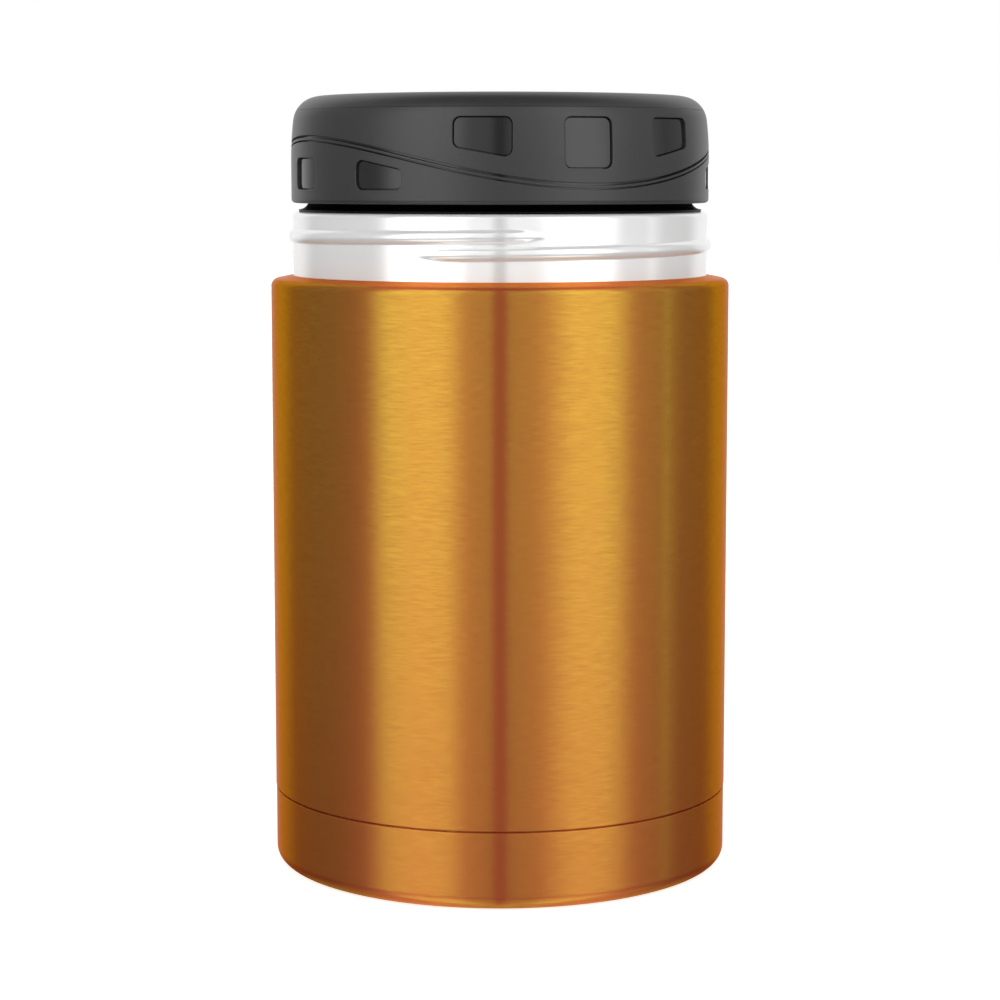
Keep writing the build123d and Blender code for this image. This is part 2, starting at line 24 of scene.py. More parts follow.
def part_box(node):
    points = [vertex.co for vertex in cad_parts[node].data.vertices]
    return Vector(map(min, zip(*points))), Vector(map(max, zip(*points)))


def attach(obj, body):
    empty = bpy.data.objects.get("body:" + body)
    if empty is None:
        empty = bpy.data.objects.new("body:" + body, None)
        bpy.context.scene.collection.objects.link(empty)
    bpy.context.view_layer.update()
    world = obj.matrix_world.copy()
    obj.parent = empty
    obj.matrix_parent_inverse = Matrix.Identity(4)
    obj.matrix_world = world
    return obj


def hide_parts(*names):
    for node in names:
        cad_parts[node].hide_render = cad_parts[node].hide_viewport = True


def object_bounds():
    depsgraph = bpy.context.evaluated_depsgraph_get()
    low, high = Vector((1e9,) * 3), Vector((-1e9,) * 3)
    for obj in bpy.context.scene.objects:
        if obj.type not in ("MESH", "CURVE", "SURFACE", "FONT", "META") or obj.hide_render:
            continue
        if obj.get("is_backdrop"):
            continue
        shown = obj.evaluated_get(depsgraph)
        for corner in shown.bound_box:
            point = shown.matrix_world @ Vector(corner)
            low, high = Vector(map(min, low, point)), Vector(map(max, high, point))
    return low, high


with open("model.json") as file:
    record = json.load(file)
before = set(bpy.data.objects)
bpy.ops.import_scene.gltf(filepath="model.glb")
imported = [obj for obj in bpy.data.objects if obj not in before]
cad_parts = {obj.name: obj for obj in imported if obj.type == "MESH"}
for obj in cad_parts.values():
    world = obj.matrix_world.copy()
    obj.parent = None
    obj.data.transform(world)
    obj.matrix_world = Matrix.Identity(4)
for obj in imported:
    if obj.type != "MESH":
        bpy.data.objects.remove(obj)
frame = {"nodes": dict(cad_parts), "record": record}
CAD_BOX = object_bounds()

log = logging.getLogger("food_jar")

MM = 0.001
ROUND = 360.0
AROUND = 384  # faces round a turned piece
ARC_STEP = 9.0  # degrees of an arc's turn for each of its faces
RUN = 4.0  # longest face along a straight run
SUPPORT = 0.08  # length of the narrow face beside an arc, which keeps the run beyond it flat in the light
SHARP = 40.0  # degrees between two faces from which their edge is drawn sharp
EDGE = 0.12  # small rounding of a cut edge
MERGE = 1e-6  # places nearer to each other than this become one
QUARTER_TURN = 0.25  # in whole turns

Point = tuple[float, float]
Place = tuple[float, float, float]
Colour = tuple[float, float, float]
Socket = bpy.types.NodeSocket


# --- Outlines and turned meshes ---


def arc(centre: Sequence[float], r: float, first: float, turn: float, steps: int) -> list[Point]:
    """Points along an arc, from its first angle over a turn, both in radians."""
    angles = [first + turn * k / steps for k in range(steps + 1)]
    return [(centre[0] + r * cos(a), centre[1] + r * sin(a)) for a in angles]


def corner_arc(
    before: Sequence[float],
    here: Sequence[float],
    after: Sequence[float],
    r: float,
    steps: int = 0,
    offset: float = 0.0,
) -> list[Point]:
    """The arc that rounds a corner between two others, from tangent to tangent.

    Args:
        r: the arc's radius.
        steps: its number of faces, or 0 for one to each ARC_STEP of its turn.
        offset: how far the arc is then moved away from its centre.
    """
    way_in = Vector((here[0] - before[0], here[1] - before[1])).normalized()
    way_out = Vector((after[0] - here[0], after[1] - here[1])).normalized()
    turn = atan2(way_in.x * way_out.y - way_in.y * way_out.x, way_in.dot(way_out))
    inwards = Vector((-way_in.y, way_in.x)) * (1.0 if turn > 0 else -1.0)
    centre = Vector(here[:2]) - way_in * (r * tan(abs(turn) / 2)) + inwards * r
    steps = steps or max(2, ceil(degrees(abs(turn)) / ARC_STEP))
    return arc(centre, r + offset, atan2(-inwards.y, -inwards.x), turn, steps)


def edge_steps(edge: float, steps: int, depth: float) -> list[Point]:
    """A cut edge as (distance from the cut, depth): the face beside it, its rounding, and the cut to a depth."""
    return [(edge + SUPPORT, 0.0), *arc((edge, edge), edge, -pi / 2, -pi / 2, steps), (0.0, depth)]


def along(start: Sequence[float], end: Sequence[float], shares: Iterable[float]) -> list[Point]:
    """Points on a straight run, at shares of its length."""
    return [(start[0] + (end[0] - start[0]) * s, start[1] + (end[1] - start[1]) * s) for s in shares]


def splits(length: float, step: float, least: int = 1) -> list[float]:
    """The shares at which a length is split into even parts, each no longer than a step."""
    count = max(least, ceil(length / step))
    return [k / count for k in range(1, count)]


def polar(r: float, angle: float, z: float) -> Place:
    """A place from its radius, its angle in radians and its height."""
    return r * cos(angle), r * sin(angle), z


class Corner(NamedTuple):
    """A corner of an outline in the plane of radius and height."""

    r: float
    z: float
    fillet: float = 0.0


Path = Sequence[Corner | tuple[float, ...]]


@dataclass
class Outline:
    """A closed outline that is turned about Z, listed counter-clockwise with the radius to the right."""

    points: list[Point]

    @staticmethod
    def of(path: Path) -> Outline:
        """Rounds the corners of a closed path and splits its straight runs.

        Args:
            path: the corners in order, as radius, height and fillet.

        Returns:
            The outline, with a narrow face beside each arc.
        """
        corners = [Corner(*c) for c in path]
        arcs = []
        for before, here, after in zip([corners[-1], *corners], corners, [*corners[1:], corners[0]]):
            arcs.append(corner_arc(before, here, after, here.fillet) if here.fillet else [(here.r, here.z)])
        points: list[Point] = []
        for last, here in zip([arcs[-1], *arcs], arcs):
            length = hypot(here[0][0] - last[-1][0], here[0][1] - last[-1][1])
            if length >= 3 * SUPPORT:
                beside = SUPPORT / length
                shares = [beside] * (len(last) > 1) + splits(length, RUN) + [1 - beside] * (len(here) > 1)
                points += along(last[-1], here[0], shares)
            points += here
        return Outline(points)

    @staticmethod
    def sheet(path: Path, wall: float, last: Point | None = None) -> Outline:
        """A bent sheet of even wall, to the left of its path, with small roundings on its cut edges.

        Args:
            path: the sheet's one face. An end without a fillet of its own gets a small one.
            wall: its thickness.
            last: where the other face ends, if its end isn't cut square.

        Returns:
            The closed outline.
        """
        path = [Corner(*c) for c in path]
        ways = [Vector((b.r - a.r, b.z - a.z)).normalized() for a, b in zip(path, path[1:])]
        lefts = [Vector((-w.y, w.x)) for w in ways]
        ends = [Corner(path[k].r + lefts[k].x * wall, path[k].z + lefts[k].y * wall, EDGE) for k in (0, -1)]
        far = [ends[0]]
        for corner, before, after in zip(path[1:-1], lefts, lefts[1:]):
            reach = (before + after) * (wall / (1 + before.dot(after)))
            bends_left = before.x * after.y - before.y * after.x > 0
            fillet = max(corner.fillet - wall, EDGE) if bends_left else corner.fillet + wall
            far.append(Corner(corner.r + reach.x, corner.z + reach.y, fillet if corner.fillet else 0.0))
        far.append(Corner(*last) if last else ends[1])
        near = [Corner(c.r, c.z, c.fillet or EDGE) for c in (path[0], path[-1])]
        ring = [near[0], *path[1:-1], near[1], *reversed(far)]
        return Outline.of([Corner(0.0, c.z) if c.r < SUPPORT else c for c in ring])

    def refined(self, low: float, high: float, step: float) -> Outline:
        """Splits the runs between two heights into parts no longer than a step."""
        points: list[Point] = []
        for here, after in zip(self.points, [*self.points[1:], self.points[0]]):
            points.append(here)
            if min(here[1], after[1]) < high and max(here[1], after[1]) > low:
                points += along(here, after, splits(hypot(after[0] - here[0], after[1] - here[1]), step))
        return Outline(points)

    def mesh(self) -> MeshMaker:
        """Turns the outline about Z into a closed mesh that more can be added to."""
        mesh = MeshMaker()
        turn = [2 * pi * k / AROUND for k in range(AROUND)]
        rings = [
            mesh.ring([(0.0, 0.0, z)] if r < SUPPORT / 2 else [polar(r, a, z) for a in turn]) for r, z in self.points
        ]
        mesh.bands([*rings, rings[0]])
        return mesh


@dataclass
class MeshMaker:
    """Gathers points and faces in millimetres, and makes the mesh in metres."""

    points: list[Place] = field(default_factory=list)
    faces: list[tuple[int, ...]] = field(default_factory=list)

    def ring(self, points: Sequence[Place]) -> list[int]:
        """Adds points and returns their numbers."""
        first = len(self.points)
        self.points += points
        return list(range(first, len(self.points)))

    def bridge(self, lower: Sequence[int], upper: Sequence[int]) -> None:
        """Joins two closed rings with a band of faces, or with a fan where one of them is a single point."""
        count = max(len(lower), len(upper))
        for k in range(count if count > 1 else 0):
            after = (k + 1) % count
            low = lower if len(lower) == 1 else (lower[k], lower[after])
            high = upper if len(upper) == 1 else (upper[after], upper[k])
            self.faces.append((*low, *high))

    def bands(self, rings: Sequence[Sequence[int]]) -> None:
        """Joins each ring to the next one."""
        for lower, upper in zip(rings, rings[1:]):
            self.bridge(lower, upper)

    def made(self, name: str) -> bpy.types.Object:
        """Makes the object, with smooth faces and sharp edges where it turns sharply."""
        data = bpy.data.meshes.new(name)
        data.from_pydata([tuple(c * MM for c in p) for p in self.points], [], self.faces)
        data.validate()
        data.shade_smooth()
        data.set_sharp_from_angle(angle=radians(SHARP))
        piece = bpy.data.objects.new(name, data)
        bpy.context.scene.collection.objects.link(piece)
        return piece


@dataclass(frozen=True)
class Extent:
    """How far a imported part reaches: its radius and its lowest and highest points, in millimetres."""

    radius: float
    low: float
    high: float

    @staticmethod
    def of(node: str) -> Extent:
        """Reads a part's extent from the frame."""
        low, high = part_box(node)
        return Extent((high.y - low.y) / 2 / MM, low.z / MM, high.z / MM)


# --- Node trees ---


def arithmetic(operation: str, swapped: bool = False) -> Callable[[Value, Input], Value]:
    """Makes an operator that adds a Math node, with the other value first if they are swapped."""

    def operate(this: Value, other: Input) -> Value:
        return this.graph.math(operation, *((other, this) if swapped else (this, other)))

    return operate


@dataclass(frozen=True)
class Value:
    """A value in a node tree. Arithmetic with it adds Math nodes."""

    graph: Graph
    socket: Socket

    __add__ = arithmetic("ADD")
    __radd__ = arithmetic("ADD", swapped=True)
    __sub__ = arithmetic("SUBTRACT")
    __rsub__ = arithmetic("SUBTRACT", swapped=True)
    __mul__ = arithmetic("MULTIPLY")
    __truediv__ = arithmetic("DIVIDE")

    def math(self, operation: str, *others: Input, clamp: bool = False) -> Value:
        """Adds a Math node with this value first."""
        return self.graph.math(operation, self, *others, clamp=clamp)

    def mapped(self, low: Input, high: Input, to_low: Input, to_high: Input) -> Value:
        """Maps the value smoothly from one range to another, and holds it there beyond the ends."""
        inputs = dict(enumerate((self, low, high, to_low, to_high)))
        return Value(self.graph, self.graph.add("MapRange", inputs, interpolation_type="SMOOTHSTEP").outputs[0])


Input = Value | Socket | float | tuple[float, ...]


class Graph:
    """A node tree that is being written."""

    def __init__(self, tree: bpy.types.NodeTree) -> None:
        """Starts on an empty tree."""
        self.tree = tree
        self.tree.nodes.clear()

    def add(self, kind: str, inputs: dict[str | int, Input] | None = None, **settings: object) -> bpy.types.Node:
        """Adds a node.

        Args:
            kind: the node's type, without the words before it that all shader nodes share.
            inputs: what its inputs are linked or set to, by name or number.
            settings: the node's own settings, by name.

        Returns:
            The node.
        """
        node = self.tree.nodes.new(kind if kind.startswith(("Geometry", "Node")) else "ShaderNode" + kind)
        for name, value in settings.items():
            setattr(node, name, value)
        for key, value in (inputs or {}).items():
            value = value.socket if isinstance(value, Value) else value
            if isinstance(value, bpy.types.NodeSocket):
                self.tree.links.new(value, node.inputs[key])
            else:
                node.inputs[key].default_value = value
        return node

    def math(self, operation: str, *values: Input, clamp: bool = False) -> Value:
        """Adds a Math node and returns its result."""
        return Value(self, self.add("Math", dict(enumerate(values)), operation=operation, use_clamp=clamp).outputs[0])

    def split(self, vector: Socket) -> list[Value]:
        """The three parts of a vector."""
        return [Value(self, part) for part in self.add("SeparateXYZ", {0: vector}).outputs]

    def ray(self, kind: str) -> Value:
        """Whether a ray is of a kind."""
        return Value(self, self.add("LightPath").outputs[f"Is {kind} Ray"])

    def noise(self, place: Socket, scale: tuple[float, float, float]) -> Value:
        """Adds noise with its own scale along each axis, in features per metre."""
        mapping = self.add("Mapping", {"Vector": place, "Scale": scale})
        return Value(self, self.add("TexNoise", {"Vector": mapping.outputs[0], "Scale": 1.0}).outputs[0])

    def mixed(self, share: Value, low: Colour, high: Colour) -> Socket:
        """Mixes two colours by a share."""
        return self.add("Mix", {0: share, 6: (*low, 1.0), 7: (*high, 1.0)}, data_type="RGBA").outputs[2]

    def stretched(self, amount: float) -> dict[str, Input]:
        """A shader's inputs that stretch its highlights along the axis by an amount from 0 to 1."""
        tangent = self.add("Tangent", direction_type="RADIAL", axis="Z").outputs[0]
        return {"Anisotropic": amount, "Anisotropic Rotation": QUARTER_TURN, "Tangent": tangent}


# --- Finishes ---

MIDDLE = 0.5  # of a pattern
WHITE = (1.0, 1.0, 1.0)


def grey(level: float) -> Colour:
    """A neutral colour."""
    return level, level, level


def new_material(name: str) -> tuple[bpy.types.Material, Graph]:
    """Starts a material and its node tree."""
    material = bpy.data.materials.new(name)
    material.use_nodes = True
    return material, Graph(material.node_tree)


class Grain(Enum):
    """A finish's fine texture and its slow, wide variation: features per metre along X, Y and Z."""

    BRUSHED = ((340.0, 340.0, 6600.0), (80.0, 80.0, 1500.0))
    ROUND = ((70.0, 70.0, 5200.0), (14.0, 14.0, 1040.0))
    EVEN = ((5200.0, 5200.0, 5200.0), (1040.0, 1040.0, 1040.0))
    CLOUDY = ((160.0, 160.0, 160.0), (32.0, 32.0, 32.0))


@dataclass(frozen=True)
class Lobe:
    """One reflection of a finish: its colours and roughnesses where the pattern is low and where it is high."""

    low: Colour
    high: Colour
    rough_low: float
    rough_high: float

    def shader(self, graph: Graph, tone: Value, shared: dict[str, Input]) -> Socket:
        """Adds the reflection's shader, with the inputs that it shares with others."""
        span = self.rough_high - self.rough_low
        inputs = {
            "Base Color": graph.mixed(tone, self.low, self.high),
            "Roughness": tone.math("MULTIPLY_ADD", span, self.rough_low) if span else self.rough_low,
            **shared,
        }
        return graph.add("BsdfPrincipled", inputs).outputs[0]


@dataclass(frozen=True)
class Finish:
    """One surface finish, with its pattern on the piece's own Object coordinates.

    Attributes:
        relief: depth of the fine texture in millimetres.
        metallic: 1 for bare or clear-coated metal.
        stretch: how far highlights stretch along the axis, from 0 to 1.
        patches: share of the slow, wide variation.
        contrast: how strongly the pattern swings between its two ends.
        gloss: level of a plastic's reflection.
        edge_tint: colour of the reflection at a glancing angle.
        coat: a second reflection, from within a clear coat over brushed metal.
        coat_share: how much of the whole is the second one.
        coat_swing: how far the pattern moves that share.
    """

    name: str
    lobe: Lobe
    grain: Grain = Grain.EVEN
    relief: float = 0.0
    metallic: float = 0.0
    stretch: float = 0.0
    patches: float = 0.3
    contrast: float = 1.6
    gloss: float = 0.5
    edge_tint: Colour = WHITE
    coat: Lobe | None = None
    coat_share: float = 0.7
    coat_swing: float = 0.08

    def material(self) -> bpy.types.Material:
        """Builds the finish's material."""
        material, graph = new_material(self.name)
        place = graph.add("TexCoord").outputs["Object"]
        fine, slow = (graph.noise(place, scale) for scale in self.grain.value)
        blend = fine * (1 - self.patches) + slow * self.patches
        tone = (blend - MIDDLE).math("MULTIPLY_ADD", self.contrast, MIDDLE, clamp=True)
        shared = {
            "Metallic": self.metallic,
            "Specular IOR Level": self.gloss,
            "Specular Tint": (*self.edge_tint, 1.0),
        }
        if self.stretch:
            shared |= graph.stretched(self.stretch)
        if self.relief:
            bump = {"Strength": 1.0, "Distance": self.relief * MM, "Height": fine}
            shared["Normal"] = graph.add("Bump", bump).outputs[0]
        surface = self.lobe.shader(graph, tone, shared)
        if self.coat:
            share = tone.math("MULTIPLY_ADD", self.coat_swing, self.coat_share - self.coat_swing / 2)
            mix = graph.add("MixShader", {0: share, 1: surface, 2: self.coat.shader(graph, tone, shared)})
            surface = mix.outputs[0]
        graph.add("OutputMaterial", {"Surface": surface})
        return material


FINISHES = (
    Finish(
        "bronze_coat",
        Lobe((0.61, 0.65, 0.052), (0.48, 0.51, 0.04), 0.2, 0.2),
        Grain.BRUSHED,
        metallic=1.0,
        stretch=0.9,
        patches=0.1,
        contrast=2.6,
        edge_tint=(0.9, 0.52, 0.28),
        coat=Lobe((0.89, 0.155, 0.084), (0.77, 0.134, 0.072), 0.7, 0.7),
    ),
    Finish("polished_steel", Lobe(grey(0.91), grey(0.94), 0.13, 0.09), Grain.CLOUDY, metallic=0.35, patches=0.5),
    Finish("satin_steel", Lobe(grey(0.55), (0.66, 0.66, 0.65), 0.42, 0.3), Grain.ROUND, metallic=1.0, stretch=0.6),
    Finish("mill_steel", Lobe(grey(0.42), grey(0.55), 0.5, 0.4), Grain.CLOUDY, metallic=1.0),
    Finish("copper_foil", Lobe((0.6, 0.3, 0.18), (0.8, 0.5, 0.36), 0.35, 0.2), Grain.CLOUDY, metallic=1.0),
    Finish("solder_glass", Lobe((0.18, 0.18, 0.17), (0.25, 0.25, 0.24), 0.15, 0.1), Grain.CLOUDY),
    Finish("getter_metal", Lobe((0.2, 0.2, 0.21), (0.34, 0.34, 0.35), 0.7, 0.6), metallic=1.0),
    Finish("matte_grey_plastic", Lobe(grey(0.026), grey(0.034), 0.42, 0.36), relief=0.006),
    Finish("gloss_grey_plastic", Lobe(grey(0.012), grey(0.015), 0.16, 0.12), Grain.CLOUDY),
    Finish("plug_plastic", Lobe(grey(0.032), grey(0.04), 0.38, 0.32), relief=0.006),
    Finish("black_silicone", Lobe(grey(0.001), grey(0.0015), 0.5, 0.4), gloss=0.1),
    Finish("white_foam", Lobe((0.78, 0.78, 0.75), (0.86, 0.86, 0.83), 0.9, 0.85), relief=0.08),
)


class Dresser:
    """Knows each part's body and slot from the frame, and gives pieces and parts their finish."""

    def __init__(self) -> None:
        """Reads the record and builds each finish once."""
        record = frame["record"]
        self.bodies = {n: body for body, nodes in record["behaviour"]["bodies"].items() for n in nodes}
        self.slots = {part["node"]: part["material_slot"] for part in record["subparts"]}
        self.materials = {finish.name: finish.material() for finish in FINISHES}

    def dress(self, piece: bpy.types.Object, node: str) -> None:
        """Makes a finished piece stand for a part.

        Args:
            piece: the new piece, in place.
            node: the part that it replaces.
        """
        slot = self.slots[node]
        piece.data.materials.clear()
        piece.data.materials.append(self.materials[slot])
        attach(piece, self.bodies[node])
        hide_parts(node)
        log.info("%s: %d faces, %s", piece.name, len(piece.data.polygons), slot)

    def turn(self, name: str, node: str, outline: Outline, thread: Thread | None = None) -> None:
        """Turns an outline into a piece that stands for a part.

        Args:
            name: the piece's name.
            node: the part that it replaces.
            outline: what is turned.
            thread: the thread that is rolled into the piece, if it has one.
        """
        if thread:
            outline = outline.refined(*thread.zone(), thread.step)
        piece = outline.mesh().made(name)
        if thread:
            thread.roll(piece, self.materials[self.slots[node]])
        self.dress(piece, node)

    def keep(self, *nodes: str) -> None:
        """Shows parts as they are, with their finish."""
        for node in nodes:
            part, slot = frame["nodes"][node], self.slots[node]
            part.data.materials.clear()
            part.data.materials.append(self.materials[slot])
            log.info("%s: kept, %s", node, slot)


# --- Rolled and moulded threads ---


@dataclass(frozen=True)
class Thread:
    """A round bead along a right-handed helix, raised from a turned wall.

    Attributes:
        wall_r: radius of the wall.
        start_z: height of the lower end.
        half_width: half the bead's width at the wall.
        height: how far it stands out, negative towards the axis.
        lead: rise for one turn. The plug's thread and the mouth's have this one, the arc and the angle in common.
        arc: degrees from end to end.
        start_angle: where the lower end is.
        least_r: points nearer the axis than this stay where they are.
        step: longest face along the wall where the bead runs.
        run_in: degrees over which it rises out of the wall at its lower end.
        run_out: the same at its upper end.
        end_share: share of its rise that it has at its very ends.
        blend: softness of the line where it leaves the wall.
        margin: how many times the blend the fine faces reach beyond the bead.
    """

    wall_r: float
    start_z: float
    half_width: float
    height: float
    lead: float = 4.0
    arc: float = 340.0
    start_angle: float = 20.0
    least_r: float = 0.0
    step: float = 0.16
    run_in: float = 10.0
    run_out: float = 9.0
    end_share: float = 0.1
    blend: float = 0.3
    margin: float = 4.0

    def _inputs(self) -> dict[str, float]:
        """The tree's inputs, in metres and radians."""
        rise = abs(self.height)
        return {
            "Wall Radius": self.wall_r * MM,
            "Lead": self.lead * MM,
            "Arc": radians(self.arc),
            "Start Angle": radians(self.start_angle),
            "Start Height": self.start_z * MM,
            "Bead Radius": (self.half_width**2 + rise**2) / (2 * rise) * MM,
            "Rise": rise * MM,
            "Outward": 1.0 if self.height > 0 else -1.0,
            "Run In": radians(self.run_in),
            "Run Out": radians(self.run_out),
            "End Share": self.end_share,
            "Blend": self.blend * MM,
            "Least Radius": self.least_r * MM,
        }

    def zone(self) -> Point:
        """Lowest and highest height that the thread reaches, with a margin."""
        reach = self.half_width + self.margin * self.blend
        return self.start_z - reach, self.start_z + self.lead * self.arc / ROUND + reach

    def _tree(self) -> bpy.types.NodeTree:
        """Writes the node tree: each point moves along its radius by the bead's height there."""
        tree = bpy.data.node_groups.new("thread", "GeometryNodeTree")
        kinds = {"Geometry": "Geometry", **dict.fromkeys(self._inputs(), "Float"), "Finish": "Material"}
        for name, kind in kinds.items():
            tree.interface.new_socket(name, in_out="INPUT", socket_type="NodeSocket" + kind)
        tree.interface.new_socket("Geometry", in_out="OUTPUT", socket_type="NodeSocketGeometry")
        graph = Graph(tree)
        sockets = graph.add("NodeGroupInput").outputs
        given = {name: Value(graph, sockets[name]) for name in kinds}
        x, y, z = graph.split(graph.add("GeometryNodeInputPosition").outputs[0])
        radius = (x * x + y * y).math("SQRT")
        angle = ((y.math("ARCTAN2", x) - given["Start Angle"]) / (2 * pi)).math("FRACT") * (2 * pi)
        beads = [self._bead(given, angle + 2 * pi * k, z) for k in (-1, 0, 1)]
        bead = beads[0].math("MAXIMUM", beads[1]).math("MAXIMUM", beads[2])
        bead = bead.math("SMOOTH_MAX", 0.0, given["Blend"]) * given["Outward"]
        share = bead * radius.math("GREATER_THAN", given["Least Radius"]) / radius
        offset = graph.add("CombineXYZ", {0: x * share, 1: y * share}).outputs[0]
        moved = graph.add("GeometryNodeSetPosition", {"Geometry": given["Geometry"], "Offset": offset}).outputs[0]
        realized = graph.add("GeometryNodeRealizeInstances", {"Geometry": moved}).outputs[0]
        finished = graph.add("GeometryNodeSetMaterial", {"Geometry": realized, "Material": given["Finish"]})
        graph.add("NodeGroupOutput", {0: finished.outputs[0]})
        return tree

    @staticmethod
    def _bead(given: dict[str, Value], angle: Value, z: Value) -> Value:
        """The bead's height over the wall at an angle along the helix, below 0 away from it."""
        nearest = angle.math("MAXIMUM", 0.0).math("MINIMUM", given["Arc"])
        past = (angle - nearest) * given["Wall Radius"]
        off = z - given["Start Height"] - nearest * given["Lead"] / (2 * pi)
        round_r, rise = given["Bead Radius"], given["Rise"]
        top = (round_r * round_r - (past * past + off * off)).math("MAXIMUM", 0.0).math("SQRT")
        run_in = nearest.mapped(0.0, given["Run In"], given["End Share"], 1.0)
        run_out = (given["Arc"] - nearest).mapped(0.0, given["Run Out"], given["End Share"], 1.0)
        return top - (1.0 - run_in * run_out) * rise - round_r + rise

    def roll(self, piece: bpy.types.Object, finish: bpy.types.Material) -> None:
        """Rolls the thread into a piece and keeps the result as its plain mesh.

        Args:
            piece: a turned piece with fine faces where the thread runs.
            finish: the material that the tree sets.
        """
        tree = self._tree()
        modifier = piece.modifiers.new("thread", "NODES")
        modifier.node_group = tree
        values = {**self._inputs(), "Finish": finish}
        for item in tree.interface.items_tree:
            if item.in_out == "INPUT" and item.name in values:
                modifier[item.identifier] = values[item.name]
        evaluated = piece.evaluated_get(bpy.context.evaluated_depsgraph_get())
        data = bpy.data.meshes.new_from_object(evaluated)
        piece.modifiers.remove(modifier)
        piece.data = data
        piece.data.name = piece.name


# --- Jar ---


@dataclass
class Jar:
    """The steel jar: coated shell and cup, threaded neck, food chamber and what closes the vacuum."""

    dresser: Dresser
    shell_wall: float = 0.6
    shell_step: float = 0.6
    shoulder_slope: float = 10.8
    shoulder_corner: float = 1.6
    shoulder_edge: float = 0.12
    seam_edge: float = 0.1
    seam_gap: float = 0.42
    seam_depth: float = 0.5
    seam_below: float = 0.1
    cup_wall: float = 0.5
    cup_corner: float = 2.85
    cup_foot: float = 8.0
    cup_recess: float = 1.0
    cup_recess_run: float = 2.0
    neck_wall: float = 0.6
    neck_lap: float = 2.0
    rim_outer: float = 1.0
    rim_inner: float = 0.9
    rim_width: float = 3.45
    mouth_turn_down: float = 3.0
    thread_proud: float = 0.85
    thread_width: float = 2.6
    thread_lead: float = 3.35
    thread_height: float = 5.2
    thread_angle: float = -111.0
    thread_arc: float = 392.0
    liner_wall: float = 0.5
    liner_neck: float = 14.5
    liner_taper: float = 3.0
    liner_bend: float = 2.5
    liner_thread_depth: float = 10.5
    liner_thread_proud: float = 1.0
    liner_thread_half: float = 1.18
    floor_corner: float = 8.0
    floor_crown: float = 1.2
    floor_crown_r: float = 24.0
    floor_crown_run: float = 4.0

    def __post_init__(self) -> None:
        """Reads the main extents from the frame."""
        self.shell = Extent.of("outer_shell")
        self.cup = Extent.of("base_cup")
        self.neck = Extent.of("neck_shell")
        self.liner = Extent.of("inner_liner")
        self.bottom = Extent.of("liner_bottom")
        self.neck_r = self.neck.radius - self.thread_proud
        self.mouth_r = self.neck_r - self.rim_width
        self.chamber_r = self.bottom.radius - self.liner_wall

    def build(self) -> None:
        """Builds and dresses every part of the jar."""
        self._shell()
        self._cup()
        self._neck()
        self._liner()
        self._bottom()
        self.dresser.keep("insulation_foil", "vacuum_bottom", "evacuation_seal", "getter", "getter_strap")

    def _shell(self) -> None:
        """The coated body wall and shoulder."""
        r, top, slope = self.shell.radius, self.shell.high, radians(self.shoulder_slope)
        skirt_r = r - self.shell_step
        seam_r, seam_z = skirt_r - self.seam_depth, self.cup.high - self.seam_below
        step_z = self.cup.high + self.seam_gap
        path = [
            (skirt_r, self.shell.low),
            (skirt_r, seam_z),
            (seam_r, seam_z),
            (seam_r, step_z),
            (r, step_z, self.seam_edge),
            (r, top - (r - self.neck_r) * tan(slope), self.shoulder_corner),
            (self.neck_r, top, self.shoulder_edge),
        ]
        lip = (self.neck_r, top - self.shell_wall / cos(slope))
        self.dresser.turn("body_wall", "outer_shell", Outline.sheet(path, self.shell_wall, lip))

    def _cup(self) -> None:
        """The coated cup over the body's foot."""
        r, recess, run = self.cup.radius, self.cup_recess, self.cup_recess_run
        foot_inner = r - self.cup_corner - self.cup_foot
        path = [
            (0.0, recess),
            (foot_inner - run, recess, run),
            (foot_inner, 0.0, run),
            (r, 0.0, self.cup_corner),
            (r, self.cup.high, EDGE),
        ]
        self.dresser.turn("foot_cup", "base_cup", Outline.sheet(path, self.cup_wall))

    def _neck(self) -> None:
        """The polished mouth ring with its rolled thread."""
        low, high = self.neck.low, self.neck.high
        path = [
            (self.neck_r, low),
            (self.neck_r, high, self.rim_outer),
            (self.mouth_r, high, self.rim_inner),
            (self.mouth_r, high - self.mouth_turn_down),
        ]
        thread = Thread(
            wall_r=self.neck_r,
            start_z=low + self.neck_lap + self.thread_height,
            half_width=self.thread_width / 2,
            height=self.thread_proud,
            lead=self.thread_lead,
            arc=self.thread_arc,
            start_angle=self.thread_angle,
            least_r=(self.neck_r + self.mouth_r) / 2,
        )
        self.dresser.turn("neck_ring", "neck_shell", Outline.sheet(path, self.neck_wall), thread)

    def _liner(self) -> None:
        """The food chamber's wall with the stopper's thread rolled into its mouth."""
        neck_z = self.neck.high - self.liner_neck
        path = [
            (self.mouth_r, self.liner.high),
            (self.mouth_r, neck_z, self.liner_bend),
            (self.chamber_r, neck_z - self.liner_taper, self.liner_bend),
            (self.chamber_r, self.liner.low),
        ]
        thread = Thread(
            wall_r=self.mouth_r,
            start_z=self.neck.high - self.liner_thread_depth,
            half_width=self.liner_thread_half,
            height=-self.liner_thread_proud,
        )
        self.dresser.turn("chamber_wall", "inner_liner", Outline.sheet(path, self.liner_wall), thread)

    def _bottom(self) -> None:
        """The food chamber's pressed bottom."""
        low_z, run = self.bottom.low + self.liner_wall, self.floor_crown_run
        crown_z = low_z + self.floor_crown
        path = [
            (self.chamber_r, self.bottom.high),
            (self.chamber_r, low_z, self.floor_corner),
            (self.floor_crown_r + run, low_z, run),
            (self.floor_crown_r, crown_z, run),
            (0.0, crown_z),
        ]
        self.dresser.turn("chamber_bottom", "liner_bottom", Outline.sheet(path, self.liner_wall))


# --- Lid ---


